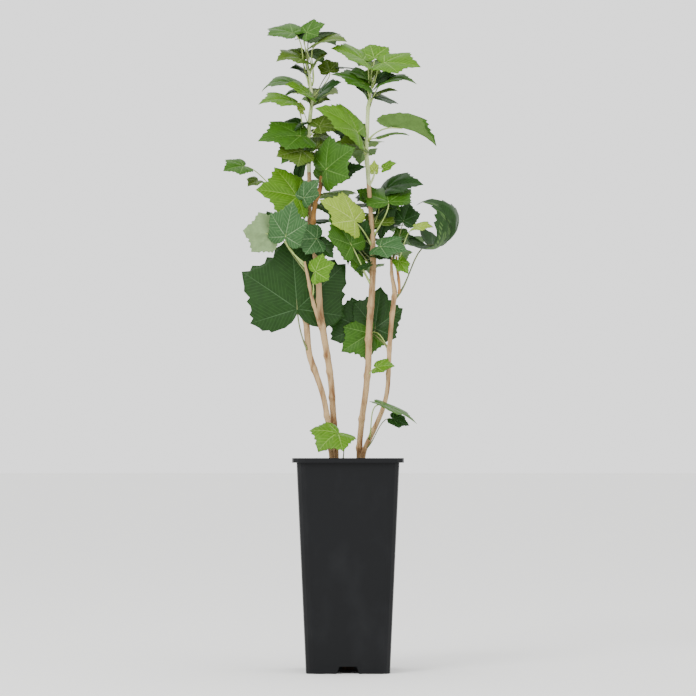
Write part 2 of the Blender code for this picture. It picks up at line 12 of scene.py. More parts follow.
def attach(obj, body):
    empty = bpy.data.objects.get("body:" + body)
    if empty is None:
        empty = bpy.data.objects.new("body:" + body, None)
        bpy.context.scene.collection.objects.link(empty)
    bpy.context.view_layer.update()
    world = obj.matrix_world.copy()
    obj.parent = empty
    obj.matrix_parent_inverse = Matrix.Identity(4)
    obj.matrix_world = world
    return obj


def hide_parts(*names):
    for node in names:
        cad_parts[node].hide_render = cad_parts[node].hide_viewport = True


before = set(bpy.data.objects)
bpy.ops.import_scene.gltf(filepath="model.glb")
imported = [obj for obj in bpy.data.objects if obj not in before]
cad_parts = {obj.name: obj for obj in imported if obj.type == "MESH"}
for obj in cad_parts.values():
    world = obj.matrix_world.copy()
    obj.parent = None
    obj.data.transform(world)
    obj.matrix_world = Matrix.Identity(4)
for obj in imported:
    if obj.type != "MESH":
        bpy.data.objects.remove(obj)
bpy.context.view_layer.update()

MM = 0.001

# Pot's height and the level of its filling, as in the solids.
POT_HEIGHT = 0.250
SOIL_LEVEL = 0.236

# Surface of the potting mix: a rough sheet 1 mm in from the solid's sides and just above it, with loose crumbs.
SHEET_HALF_WIDTH = 0.0566
SHEET_CORNER = 1.86  # x plus y where a corner is cut off, in half widths
SHEET_CELLS = 90
SHEET_CLEAR = 0.0002
SHEET_RISE = 0.0035
SHEET_LEVEL = 0.5
SHEET_BUMPS = ((180, 0.5), (520, 0.35))  # how many to a metre, and how strong
CRUMBS = 260
CRUMB_SEED = 5
CRUMB_SIZE = (0.0006, 0.0022)
CRUMB_SHAPE = (1.8, 1, 0.7)
CRUMB_TURN = 6.28
CRUMB_REACH = 0.052
CRUMB_HEIGHT = 0.0028

# Camera: a long lens at the height of the pot's rim, tipped up a little.
CAMERA_PLACE = (0, -3.065, POT_HEIGHT)
CAMERA_TIP = 2.43
CAMERA_LENS = 134.1
SENSOR_WIDTH = 36

# Studio: white light all round, and each lamp's name, place, width in metres and power in watts.
WORLD_LIGHT = 1.7
LAMPS = (
    ("key", (-1.6, -2.2, 2.2), 1.2, 60),
    ("fill", (2.2, -1.6, 1.2), 2.0, 10),
)
LAMP_AIM = (0, 0, 0.4)
FLOOR_HALF_WIDTH = 40

# Leaf outline and cup, as in the solids.
LOBES = ((0, 0.42, 25), (51, 0.31, 21), (103, 0.10, 24))  # bearing, height, spread of each lobe
LOBE_FLOOR = 0.58
BASE_NOTCH = (0.52, 46)
NATURAL_WIDTH = 1.36  # full width of an unstretched leaf over its length
CUP = 0.16

# Leaf detail: columns round the blade, rings out from the stalk, teeth, main veins, swellings and waves.
EDGE_POINTS = 70
REACHES = (0.2, 0.45, 0.7, 0.88, 1)
TEETH = 28
TOOTH_DEPTH = 0.11
TOOTH_LEAN = 0.7  # share of a tooth that is its long side
VEIN_WIDTH = 0.0011
VEIN_RUNS_OUT = 1.15  # reach at which a vein would have no width
VEIN_WIDEST = 0.12  # in radians, either side of its middle
VEIN_CLEAR = 3.4  # degrees either side of a main vein that hold no other column
PUFF = 0.02  # height of the swelling between veins over the blade's length
PUFF_SPAN = 0.45  # radians from a vein to the crown of the swelling
PUFF_REACH = 0.95
EDGE_WAVE = 0.03  # height of the waves at the edge over the blade's length
WAVES = (3, 5)  # counts round the blade
WAVE_SHIFT = 3
LEAF_BODY = 0.0004
SEAM_STEP = 0.01  # in radians, to look either side of a seam in the blade's map
UPPER, UNDER, VEIN = 0, 1, 2
FINISHES_OF_A_TONE = 3

# Leaf skin: side veins in a herringbone on the blade's own map, and a mottle, with sizes in millimetres.
SIDE_VEIN_SPACING = 5.0
SIDE_VEIN_EDGE = 0.9
SIDE_VEIN_SLANT = 0.9
SIDE_VEIN_STRENGTH = 0.4
SIDE_VEIN_DEPTH = 1.2
MOTTLE = 6.25
MOTTLE_DARK = 0.62
MOTTLE_LIGHT = 1.35
LEAF_SHINE = 0.16

# Other finishes: depth of the grain in millimetres, and how far a patch's edge fades either way.
GRAIN_DEPTH = 0.6
PATCH_EDGE = 0.12

# Leaf stalks: a curve from the shoot to the blade, flared where it leaves the shoot, in metres and shares.
STALK_RADIUS = 0.0011
STALK_THIN = 0.00055
STALK_GROWTH = 0.009  # added radius for each metre of blade
STALK_SIDES = 7
STALK_HANDLE = 0.35  # length of the curve's handles over the way it spans
STALK_BELOW_FOOT = 0.0004
STALK_BELOW_RIB = 0.0006
STALK_UNDER_BLADE = 0.2
STALK_OUT = 0.6
STALK_AHEAD = 0.8
FLARE = 1.45
FLARE_LOSS = 0.75
FLARE_SHARE = 0.34
STALK_REST = 0.8
STALK_END = 0.55
# Stalk finishes: fresh green, and a darker one, which is painted shade on the leaves of the d tone.
FRESH_STALK, DARK_STALK = 0, 1

# Young leaves, one behind each broad leaf of the upper plant. They are only here and not in the solids.
YOUNG_STALK = (0.5, 0.8)
YOUNG_SET_BACK = (0, 9, -5)
YOUNG_TURN = (-38, 38)
YOUNG_SIZE = (0.5, 0.68)
YOUNG_DROOP = 35
YOUNG_FOLD = 20
YOUNG_TONES = "odm"
BROAD_LEAF = 27
UPPER_PLANT = 440
CURLED_UP = 100

# Bark: relief as a share of the radius, with the stem's steps and the knots in millimetres.
STEM_STEP = 1.6
STEM_SIDES = 18
BARK_DEPTH = 0.10
GREEN_WOOD_DEPTH = 0.05
BARK_GRAIN = (2.2, 55, 0.7)  # round the stem, along it in bumps to a metre, and strength
BARK_LUMPS = (160, 1.5, 0.5)  # bumps to a metre, change round the stem, and strength
KNOT_SWELL = 0.26
KNOT_LENGTH = 3.2
KNOT_SIDE = (-0.4, -0.9, 0)
KNOT_LEAST = 0.2
KNOT_MEAN = 0.6
TAN_BARK, GREEN_WOOD, BROWN_BARK = 0, 1, 2

Leaf = namedtuple("Leaf", "height base tip width lean droop fold side", defaults=(50, 20, 12, 0))

# Cane routes: right, back, up and radius, from the potting mix upwards.
ROUTES = {
    "left": (
        (-18, -6, 236, 3.6), (-20, -6, 264, 3.4), (-23, -5, 289, 3.3), (-29, -3, 322, 3.3),
        (-37, -2, 347, 3.5), (-46, 0, 374, 3.7), (-49, 2, 407, 3.7), (-52, 3, 430, 3.5),
        (-52, 4, 452, 3.2), (-49, 4, 482, 2.9), (-46, 4, 525, 2.6), (-46, 4, 576, 2.5),
        (-47, 1, 626, 2.5), (-45, 0, 655, 2.4), (-43, 0, 676, 2.1), (-46, -1, 706, 1.4),
        (-50, -2, 722, 0.9),
    ),
    "centre": (
        (-14, 6, 235, 3.9), (-16, 5, 280, 3.8), (-18, 2, 310, 3.7), (-20, 0, 340, 3.7),
        (-25, -5, 374, 3.8), (-30, -8, 404, 3.9), (-33, -9, 425, 3.5), (-35, -10, 460, 3.4),
        (-39, -9, 492, 3.2), (-41, -8, 525, 3.0), (-39, -7, 550, 2.9), (-33, -4, 569, 2.7),
        (-31, -2, 586, 2.4), (-30, 0, 604, 1.8),
    ),
    "side": (
        (-33, -12.2, 404, 1.9), (-36, -17, 416, 2.1), (-42, -24, 437, 2.0), (-46, -28, 457, 1.9),
        (-51, -33, 480, 1.4),
    ),
    "right": (
        (13, 6, 236, 3.5), (14, 5, 270, 3.5), (17, 4, 300, 3.6), (21, 4, 328, 3.7),
        (24, 3, 362, 3.8), (25, 2, 400, 3.9), (28, 1, 441, 3.9), (30, 1, 484, 3.6),
        (29, 1, 511, 3.1), (26, 1, 554, 2.6), (24, 1, 584, 2.6), (22, 0, 616, 2.5),
        (23, 0, 644, 2.4), (24, 0, 665, 2.2), (27, 0, 685, 1.7), (31, 0, 702, 1.0),
    ),
    "far_right": (
        (16, -8, 236, 3.1), (19, -8, 258, 3.0), (28, -9, 278, 2.9), (38, -10, 300, 2.8),
        (44, -11, 318, 2.7), (47, -11, 336, 2.7), (48, -11, 357, 2.7), (49, -10, 379, 2.8),
        (51, -9, 407, 2.7), (54, -8, 434, 2.9), (55, -8, 447, 2.9), (52, -6, 466, 2.1),
        (51, -4, 488, 1.4),
    ),
    "red": (
        (59.6, -9.3, 444, 1.5), (60.6, -10.5, 449, 1.7), (60, -12, 460, 1.7), (58, -13, 474, 1.5),
        (57, -13, 488, 1.1),
    ),
    "spur": ((-46, 4, 535, 1.7), (-58, -3, 546, 1.6), (-77, -9, 562, 1.2)),
    "young": ((25, 0, 572, 1.3), (30, -5, 582, 1.2), (33, -9, 594, 0.8)),
}

# Leaves of each shoot: height on the shoot, blade's foot, blade's tip, width across, then in degrees
# the lean of its face to the front, its droop along the rib, its fold about the rib and its face to the side.
LEFT_TOP = (
    Leaf(697, (-66, 6, 756), (-97, 26, 764), 46, 31),
    Leaf(708, (-52, 12, 754), (-50, 32, 770), 22, 60, 10),
    Leaf(706, (-49, -4, 755), (-27, -12, 764), 26, 65, 15),
    Leaf(692, (-38, -8, 740), (-1, -24, 741), 48, 24, 50),
    Leaf(690, (-54, 4, 724), (-85, -12, 719), 46, 32, 60),
    Leaf(682, (-66, 16, 697), (-104, 24, 689), 40, 24, 70),
    Leaf(672, (-46, -12, 680), (-74, -28, 690), 34, 38, 20),
    Leaf(677, (-22, 14, 712), (-26, 28, 728), 26, 70, 10),
    Leaf(676, (-10, 18, 716), (16, 26, 713), 22, 12, 20),
    Leaf(668, (-31, -8, 683), (-8, -20, 694), 32, 38, 20),
)
LEFT_UPPER = (
    Leaf(626, (-66, -14, 671), (-105, -30, 665), 44, 30, 50),
    Leaf(602, (-56, -16, 630), (-106, -38, 622), 52, 50, 25),
    Leaf(600, (-55, -22, 612), (-84, -44, 602), 44, 65, 10),
    Leaf(596, (-54, 9, 604), (-61, 16, 574), 18, 55, 12, 40),
    Leaf(603, (-37, -2, 618), (-36, 18, 634), 26, 60, 15),
    Leaf(632, (-34, -6, 643), (-4, 8, 650), 36, 42, 25),
    Leaf(646, (-54, -8, 662), (-62, -16, 670), 12, 60, 10),
)
LEFT_MIDDLE = (
    Leaf(552, (-52, -22, 556), (-34, -32, 577), 26, 75, 10),
)
SPUR = (
    Leaf(561, (-124, -10, 595), (-147, -24, 588), 34, 45),
    Leaf(546, (-60, -18, 558), (-108, -40, 564), 64, 66),
)
SIDE = (
    Leaf(441, (-38, -36, 468), (-15, -50, 477), 34, 75, 10),
    Leaf(478, (-73, -40, 509), (-64, -56, 549), 46, 70, 15),
    Leaf(474, (-90, -34, 512), (-123, -50, 515), 48, -80, 10),
    Leaf(468, (-84, -22, 520), (-96, -14, 541), 28, 60, 10),
)
CENTRE = (
    Leaf(512, (-37, -20, 508), (-69, -34, 505), 40, 75, 10),
    Leaf(509, (-34, -16, 502), (-17, -24, 485), 26, 60, 10),
    Leaf(576, (-26, -18, 590), (8, -40, 614), 62, 66),
    Leaf(578, (-20, -4, 583), (21, -10, 594), 40, 40),
)
RIGHT_MIDDLE = (
    Leaf(502, (7, -24, 529), (-33, -44, 552), 48, 60),
    Leaf(456, (4, -16, 501), (-24, -34, 541), 42, 60, 15),
    Leaf(476, (1, -6, 501), (0, -14, 477), 14, 60, 10, 40),
    Leaf(484, (17, 14, 500), (12, 28, 529), 30, 60, 10),
    Leaf(482, (24, -9, 478), (7, -14, 470), 9, 40, 10),
    Leaf(514, (48, -4, 553), (44, 28, 574), 60, 50, 20),
    Leaf(522, (32, 10, 558), (10, 16, 570), 26, 60, 10),
    Leaf(548, (46, 20, 571), (90, 8, 575), 42, 42, 50),
    Leaf(530, (46, 12, 546), (38, 14, 508), 26, 60, 10),
    Leaf(494, (38, -18, 499), (70, -38, 492), 36, 55),
    Leaf(556, (28, 22, 565), (8, 36, 562), 28, 42),
)
RIGHT_UPPER = (
    Leaf(610, (11, -20, 634), (-39, -38, 660), 44, 50, 50),
    Leaf(632, (12, 26, 640), (-18, 36, 642), 34, 50, 10),
    Leaf(626, (53, -18, 640), (104, -32, 616), 46, 5, 45, 65),
)
YOUNG = (
    Leaf(586, (31, -8, 589), (31, -15, 602), 11, 60, 10),
    Leaf(592, (43, -12, 593), (57, -20, 598), 14, 60, 10),
)
RIGHT_TOP = (
    Leaf(686, (18, -12, 721), (-20, -24, 733), 46, 35, 25),
    Leaf(694, (31, 2, 726), (26, 20, 745), 42, 50, 10),
    Leaf(690, (43, -10, 718), (86, -24, 711), 46, 42, 20),
    Leaf(679, (19, -10, 693), (-20, -18, 702), 38, 35, 35),
    Leaf(673, (40, -6, 694), (82, -14, 693), 34, 24, 60),
    Leaf(666, (34, 6, 680), (60, 16, 672), 26, 30, 10),
)
TAN_SHOOT = (
    Leaf(484, (66, 14, 532), (74, 26, 555), 34, 60, 10),
)
RED_SHOOT = (
    Leaf(480, (80, -34, 521), (100, -46, 519), 16, 50, 30),
    Leaf(478, (60, -18, 482), (71, -26, 466), 18, 70, 10),
)

# Leaves that spring from a bare cane or from the potting mix. The curled one is 4 mm narrower and nearer the
# stem than its solid, so that its teeth and waves stay inside the box of the solids.
BIG_LEFT = (Leaf(377, (-60, -6, 426), (-67, -5, 515), 122, 88, 6, 0, 3),)
CURLED = (
    Leaf(438, (100, -10, 501), (80, -22, 548), 52, 90, 225, 0, 53),
)
LOW_BACK = (
    Leaf(378, (15, 18, 405), (-27, 22, 425), 58, 80, 10),
    Leaf(378, (32, 16, 404), (39, 24, 454), 60, 80, 10),
    Leaf(378, (26, 14, 398), (-8, 10, 376), 48, 80, 10),
)
SMALL_LOW = (Leaf(348, (34, -14, 357), (55, -26, 358), 20, 60, 30),)
LOW_RIGHT = (
    Leaf(272, (40, -40, 312), (80, -50, 290), 40, 5, 20),
)
LOW_RIGHT_UNDER = (
    Leaf(262, (53, -26, 296), (72, -28, 288), 18, 60, 10),
)
LOW_FRONT = Leaf(0, (-12, -30, 279), (-35, -44, 257), 54, 40, 50)
LOW_FRONT_FOOT = (-8, -19)
LOW_FRONT_RISE = (0.25, -0.2, 1)

# Leaves of the far side: height on the shoot, bearing and the stalk's rise, with the rest by a seeded rule.
FAR_STALK = (30, 42)
FAR_BLADE = (40, 52)
FAR_FALL = (2, 14)
FAR_TURN = (-14, 14)
FAR_LEAN = (-15, 5)
FAR_DROOP = (20, 45)
FAR_WIDTH = 1.12
FAR_TONES = "mdob"
FAR_SEED = 11
FAR_LEAVES = {
    "left_top": ("left", ((718, 60, 72), (672, 80, 35))),
    "left_upper": ("left", ((616, 88, 28),)),
    "left_middle": ("left", ((565, 104, 28), (520, 92, 22))),
    "centre": ("centre", ((592, 88, 36), (548, 70, 28))),
    "right_middle": ("right", ((535, 84, 33), (505, 72, 33), (474, 96, 33))),
    "right_upper": ("right", ((612, 100, 30),)),
    "right_top": ("right", ((690, 85, 58),)),
    "tan_shoot": ("far_right", ((480, 50, 62),)),
}

# Each shoot with its row of leaves and the tone of every leaf.
# Tones: b painted highlight, a lighter copy of the leaf colour for leaves in the light; m mid; o olive; d
# painted shade, a darker copy for leaves in shade; n blue-green; y yellow-green.
TONES = "bmodny"
ROWS = (
    ("left", LEFT_TOP, "mdmoombodd"),
    ("left", LEFT_UPPER, "bmodooy"),
    ("left", LEFT_MIDDLE, "n"),
    ("spur", SPUR, "mb"),
    ("side", SIDE, "bnnd"),
    ("centre", CENTRE, "ndmd"),
    ("right", RIGHT_MIDDLE, "ymdddmmddnd"),
    ("right", RIGHT_UPPER, "bdm"),
    ("young", YOUNG, "yb"),
    ("right", RIGHT_TOP, "bbbmmd"),
    ("far_right", TAN_SHOOT, "d"),
    ("red", RED_SHOOT, "yb"),
    ("left", BIG_LEFT, "d"),
    ("far_right", CURLED, "d"),
    ("far_right", LOW_BACK, "ddm"),
    ("right", SMALL_LOW, "b"),
    ("far_right", LOW_RIGHT, "m"),
    ("far_right", LOW_RIGHT_UNDER, "d"),
)
# The b and d tones are lit and shaded copies of the leaf colour: painted highlight and painted shade, on the
# upper face and underside alike.
LEAF_COLOURS = (  # tone, upper face, vein and underside
    ("painted_highlight", "4A7410", "7A9C40", "5C7C30"),
    ("mid", "335A10", "587F32", "557338"),
    ("olive", "46601A", "76884A", "768850"),
    ("painted_shade", "1C3A10", "33552A", "4C6838"),
    ("blue_green", "365A30", "6C8C5E", "7E9668"),
    ("yellow_green", "809C2A", "B2C26C", "AABA74"),
)

# Stems: shoot, from height, to height, knots, and which bark.
STEMS = (
    ("left", 234, 470, (262, 300, 355, 415), TAN_BARK),
    ("left", 469, 590, (505, 552), TAN_BARK),
    ("left", 589, 722, (600, 632, 672), GREEN_WOOD),
    ("centre", 234, 505, (292, 322, 352, 371, 405, 436, 470), TAN_BARK),
    ("centre", 504, 604, (531, 562), BROWN_BARK),
    ("side", 402, 480, (430, 452), TAN_BARK),
    ("right", 234, 448, (262, 296, 347, 390, 430), TAN_BARK),
    ("right", 447, 575, (470, 494, 525), TAN_BARK),
    ("right", 574, 702, (600, 636, 666), GREEN_WOOD),
    ("far_right", 234, 447, (281, 349, 378, 420, 440), TAN_BARK),
    ("far_right", 446, 488, (468,), TAN_BARK),
    ("red", 443, 488, (460,), BROWN_BARK),
    ("spur", 535, 562, (), GREEN_WOOD),
    ("young", 572, 594, (), GREEN_WOOD),
)

# Nodes of the solids that the new pieces stand for.
LEAFY_NODES = (
    "left_top_leaves", "left_upper_leaves", "left_middle_leaves", "side_shoot_leaves", "centre_leaves",
    "right_middle_leaves", "right_upper_leaves", "right_top_leaves", "tan_shoot_leaves", "red_shoot_leaves",
    "big_left_leaf", "curled_right_leaf", "low_back_leaves", "small_low_leaf", "low_right_leaf",
    "low_right_under_leaf", "low_front_leaf",
)
CANE_NODES = ("left_cane", "centre_cane", "side_shoot", "right_cane", "far_right_cane")


def in_metres(place):
    return Vector(place) * MM


class Shoot:
    """A smooth tapering route that rises all the way, read by height."""

    def __init__(self, points, steps=8):
        rows = [Vector((x, y, z, r)) * MM for x, y, z, r in points]
        ends = [rows[0] * 2 - rows[1], *rows, rows[-1] * 2 - rows[-2]]
        self.rows = []
        for before, start, end, after in zip(ends, ends[1:], ends[2:], ends[3:]):
            slope = end - before
            bend = before * 2 - start * 5 + end * 4 - after
            twist = start * 3 - before - end * 3 + after
            for step in range(steps):
                share = step / steps
                self.rows.append((start * 2 + slope * share + bend * share**2 + twist * share**3) / 2)
        self.rows.append(rows[-1])

    def at(self, height):
        """Centre, radius and direction at a height in metres."""
        last = len(self.rows) - 2
        index = next((i for i in range(last) if self.rows[i + 1].z >= height), last)
        low, high = self.rows[index], self.rows[index + 1]
        share = min(max((height - low.z) / (high.z - low.z), 0), 1)
        row = low.lerp(high, share)
        return row.xyz, row.w, (high.xyz - low.xyz).normalized()


SHOOTS = {name: Shoot(points) for name, points in ROUTES.items()}


def lobe_radius(bearing):
    """The leaf's outline about its foot, where the tip is 1: five lobes and a notch at the stalk."""
    turn = abs(math.degrees(bearing))
    radius = LOBE_FLOOR
    for centre, height, spread in LOBES:
        radius += height * math.exp(-(((turn - centre) / spread) ** 2))
    depth, spread = BASE_NOTCH
    return radius - depth * math.exp(-(((turn - 180) / spread) ** 2))


class Blade:
    """A leaf's surface: the rib is an arc from foot to tip, and each side folds up and cups down from it."""

    def __init__(self, leaf):
        self.base, tip = in_metres(leaf.base), in_metres(leaf.tip)
        lean, side = math.radians(leaf.lean), math.radians(leaf.side)
        chord = tip - self.base
        self.along = chord.normalized()
        face = Vector((math.sin(side), -math.sin(lean) * math.cos(side), math.cos(lean) * math.cos(side)))
        self.up = (face - self.along * face.dot(self.along)).normalized()
        self.across = self.along.cross(self.up)
        self.turn = math.radians(max(leaf.droop, 1))
        self.length = chord.length * self.turn / (2 * math.sin(self.turn / 2))
        self.fold = math.radians(leaf.fold)
        self.stretch = leaf.width * MM / (NATURAL_WIDTH * self.length)
        self.half_width = leaf.width * MM / 2

    def frame(self, distance):
        """Place on the rib, its direction and the blade's upward side there."""
        angle = self.turn / 2 - self.turn * distance / self.length
        bend = self.length / self.turn
        half = self.turn / 2
        place = self.base + self.along * bend * (math.sin(half) - math.sin(angle))
        place += self.up * bend * (math.cos(angle) - math.cos(half))
        ahead = self.along * math.cos(angle) + self.up * math.sin(angle)
        return place, ahead, self.up * math.cos(angle) - self.along * math.sin(angle)

    def point(self, bearing, reach):
        """The surface at a bearing from the rib, at this share of the way to the edge."""
        radius = lobe_radius(bearing) * reach * self.length
        side = math.sin(bearing) * radius * self.stretch
        place, _, upward = self.frame(math.cos(bearing) * radius)
        lift = abs(side) * math.sin(self.fold) - CUP * side**2 / self.half_width
        return place + self.across * side * math.cos(self.fold) + upward * lift


def far_leaves(mass):
    """Leaves of the side away from the front, by a seeded rule."""
    shoot_name, rows = FAR_LEAVES[mass]
    rng = random.Random(f"{mass} {FAR_SEED}")
    for height, bearing, rise in rows:
        foot = SHOOTS[shoot_name].at(height * MM)[0] / MM
        rise, fall = math.radians(rise), math.radians(rng.uniform(*FAR_FALL))
        turn = math.radians(bearing)
        turned = math.radians(bearing + rng.uniform(*FAR_TURN))
        stalk, blade = rng.uniform(*FAR_STALK), rng.uniform(*FAR_BLADE)
        base = foot + Vector((math.cos(turn), math.sin(turn), math.tan(rise))) * stalk * math.cos(rise)
        tip = base + Vector((math.cos(turned), math.sin(turned), -math.tan(fall))) * blade * math.cos(fall)
        lean, droop = rng.uniform(*FAR_LEAN), rng.uniform(*FAR_DROOP)
        yield shoot_name, Leaf(height, tuple(base), tuple(tip), blade * FAR_WIDTH, lean, droop)


def young_leaf(leaf, shoot_name):
    """A smaller leaf from the same joint, on a shorter stalk behind the first and turned from it."""
    rng = random.Random(f"young {leaf.base}")
    foot = SHOOTS[shoot_name].at(leaf.height * MM)[0] / MM
    base, tip = Vector(leaf.base), Vector(leaf.tip)
    own = foot + (base - foot) * rng.uniform(*YOUNG_STALK) + Vector(YOUNG_SET_BACK)
    turned = Matrix.Rotation(math.radians(rng.uniform(*YOUNG_TURN)), 3, "Y") @ (tip - base)
    size = rng.uniform(*YOUNG_SIZE)
    own_tip = own + turned * size
    width = leaf.width * size
    return Leaf(leaf.height, tuple(own), tuple(own_tip), width, leaf.lean, YOUNG_DROOP, YOUNG_FOLD)


def has_young_leaf(leaf, shoot_name):
    """Whether a leaf is broad, not curled up, high enough and off the side shoot."""
    is_upper = leaf.height > UPPER_PLANT and shoot_name != "side"
    return is_upper and leaf.width > BROAD_LEAF and leaf.droop < CURLED_UP


def all_leaves():
    """Each leaf on a shoot, with the shoot and a tone: the rows, the far side, then the young ones."""
    placed = []
    for shoot_name, leaf_rows, tones in ROWS:
        for leaf, tone in zip(leaf_rows, tones):
            placed.append((leaf, shoot_name, tone))
    for mass_name in FAR_LEAVES:
        for shoot_name, leaf in far_leaves(mass_name):
            placed.append((leaf, shoot_name, FAR_TONES[len(placed) % len(FAR_TONES)]))
    for index, (leaf, shoot_name, _) in list(enumerate(placed)):
        if has_young_leaf(leaf, shoot_name):
            tone = YOUNG_TONES[index % len(YOUNG_TONES)]
            placed.append((young_leaf(leaf, shoot_name), shoot_name, tone))
    return placed


def tooth(bearing):
    """A share to take off the edge, from 0 at a tooth's point to 1 in the gap, leaning towards the tip."""
    turn = abs(bearing) / (2 * math.pi) * TEETH
    share = turn - math.floor(turn)
    return share / TOOTH_LEAN if share < TOOTH_LEAN else (1 - share) / (1 - TOOTH_LEAN)


def columns():
    """Bearings of the blade's columns, each with the side of the vein that it borders, or 0."""
    made = []
    for index in range(EDGE_POINTS):
        bearing = 2 * math.pi * index / EDGE_POINTS - math.pi
        if min(abs(abs(bearing) - math.radians(lobe[0])) for lobe in LOBES) > math.radians(VEIN_CLEAR):
            made.append((bearing, 0))
    for lobe in LOBES:
        for sign in (1, -1) if lobe[0] else (1,):
            for side in (-1, 1):
                made.append((math.radians(lobe[0]) * sign, side))
    return sorted(made)


def vein_axis(bearing):
    """Bearing of the main vein that this part of the blade hangs on."""
    axes = [math.radians(lobe[0]) * sign for lobe in LOBES for sign in (1, -1)]
    return min(axes, key=lambda axis: abs(axis - bearing))


def blade_rings(blade, leaf, rows):
    """Rings of places out from the stalk, the last one toothed, with each place's spot on the blade's map."""
    size = blade.length
    rng = random.Random(f"{leaf.base} {leaf.tip}")
    shifts = [rng.uniform(-1, 1) * WAVE_SHIFT for _ in WAVES]
    for reach in REACHES:
        ring, spots = [], []
        for bearing, side in rows:
            turned = bearing
            if side:
                half = VEIN_WIDTH * (VEIN_RUNS_OUT - reach) / 2
                turned += side * math.asin(min(half / (reach * lobe_radius(bearing) * size), VEIN_WIDEST))
            share = reach * (1 - TOOTH_DEPTH * tooth(turned)) if reach == 1 else reach
            radius = lobe_radius(turned) * share * size
            off_vein = turned - vein_axis(turned)
            puff = math.sin(min(abs(off_vein) / PUFF_SPAN, 1) * math.pi / 2)
            puff *= math.sin(math.pi * min(share, PUFF_REACH))
            wave = sum(math.sin(turned * count + shift) for count, shift in zip(WAVES, shifts)) / len(WAVES)
            _, _, upward = blade.frame(math.cos(turned) * radius)
            lift = PUFF * puff * size + EDGE_WAVE * wave * share**2 * size
            ring.append(blade.point(turned, share) + upward * lift)
            spots.append((radius * math.sin(off_vein), radius * math.cos(off_vein)))
        yield ring, spots


def add_face(bm, uv, corners, flip, material_index):
    """A smooth face through corners, each a vertex and its spot on the blade's map."""
    if flip:
        corners = corners[::-1]
    face = bm.faces.new([vert for vert, _ in corners])
    face.material_index = material_index
    face.smooth = True
    for loop, (_, spot) in zip(face.loops, corners):
        loop[uv].uv = (spot[0] / MM, spot[1] / MM)


def leaf_sheet(bm, uv, leaf, tone):
    """A toothed, veined blade with an upper and a lower face, added to the mesh."""
    blade = Blade(leaf)
    rows = columns()
    rings, spots = zip(*blade_rings(blade, leaf, rows))
    afters = [(index + 1) % len(rows) for index in range(len(rows))]
    rims = []
    for layer in (UPPER, UNDER):
        sunk = blade.up * LEAF_BODY * -layer
        centre = bm.verts.new(blade.point(0, 0) + sunk)
        made = [[bm.verts.new(place + sunk) for place in ring] for ring in rings]
        rims.append(made[-1])
        for index, after in enumerate(afters):
            is_vein = layer == UPPER and rows[index][1] == -1 and rows[after][1] == 1
            material_index = tone * FINISHES_OF_A_TONE + (VEIN if is_vein else layer)
            corners = [(centre, (0, 0)), (made[0][index], spots[0][index]), (made[0][after], spots[0][after])]
            add_face(bm, uv, corners, layer, material_index)
            is_seam = vein_axis(rows[index][0] + SEAM_STEP) != vein_axis(rows[after][0] - SEAM_STEP)
            for low, high in zip(range(len(made)), range(1, len(made))):
                corners = [
                    (made[low][index], spots[low][index]), (made[high][index], spots[high][index]),
                    (made[high][after], spots[high][after]), (made[low][after], spots[low][after]),
                ]
                if is_seam:
                    corners = [(vert, (0.0, spot[1])) for vert, spot in corners]
                add_face(bm, uv, corners, layer, material_index)
    top, under = rims
    for index, after in enumerate(afters):
        edge = [top[index], under[index], under[after], top[after]]
        add_face(bm, uv, [(vert, (0, 0)) for vert in edge], 0, tone * FINISHES_OF_A_TONE)


def ring_tube(bm, stations, sides, relief=None, index=0):
    """A tapering limb through (centre, radius, direction) stations, with relief on its radius."""
    rings = []
    across = Vector((1, 0.2, 0))
    for centre, radius, ahead in stations:
        first = (across - ahead * across.dot(ahead)).normalized()
        second = ahead.cross(first)
        ring = []
        for side in range(sides):
            turn = 2 * math.pi * side / sides
            out = first * math.cos(turn) + second * math.sin(turn)
            grown = radius * (1 + (relief(centre, out) if relief else 0))
            ring.append(bm.verts.new(centre + out * grown))
        rings.append(ring)
    for low, high in zip(rings, rings[1:]):
        for side in range(sides):
            after = (side + 1) % sides
            face = bm.faces.new((low[side], low[after], high[after], high[side]))
            face.smooth = True
            face.material_index = index
    for ring in (rings[0][::-1], rings[-1]):
        bm.faces.new(ring).material_index = index


def stalk_stations(leaf, foot, away, steps=10):
    """The stalk's route: out of its shoot, then on under the blade's rib."""
    blade = Blade(leaf)
    _, ahead, upward = blade.frame(0)
    handle = (blade.base - foot).length * STALK_HANDLE
    controls = (foot, foot + away * handle, blade.base - ahead * handle, blade.base)
    places = []
    for step in range(steps):
        t = step / (steps - 1)
        weights = ((1 - t) ** 3, 3 * t * (1 - t) ** 2, 3 * t * t * (1 - t), t**3)
        place = sum((control * weight for control, weight in zip(controls, weights)), Vector())
        places.append(place - upward * STALK_BELOW_FOOT)
    places.append(blade.frame(blade.length * STALK_UNDER_BLADE)[0] - upward * STALK_BELOW_RIB)
    thick = min(STALK_RADIUS, STALK_THIN + blade.length * STALK_GROWTH)
    last = len(places) - 1
    made = []
    for index, place in enumerate(places):
        share = index / last
        swell = FLARE - FLARE_LOSS * min(share * 3, 1) if share < FLARE_SHARE else STALK_REST
        near = places[min(index + 1, last)] - places[max(index - 1, 0)]
        made.append((place, thick * swell * (STALK_END if index == last else 1), near.normalized()))
    return made


def stalk_start(leaf, shoot):
    """Where a stalk leaves its shoot, and its first direction."""
    foot, radius, ahead = shoot.at(leaf.height * MM)
    out = in_metres(leaf.base) - foot
    out = (out - ahead * out.dot(ahead)).normalized()
    return foot + out * radius * STALK_OUT, (out * STALK_OUT + ahead * STALK_AHEAD).normalized()


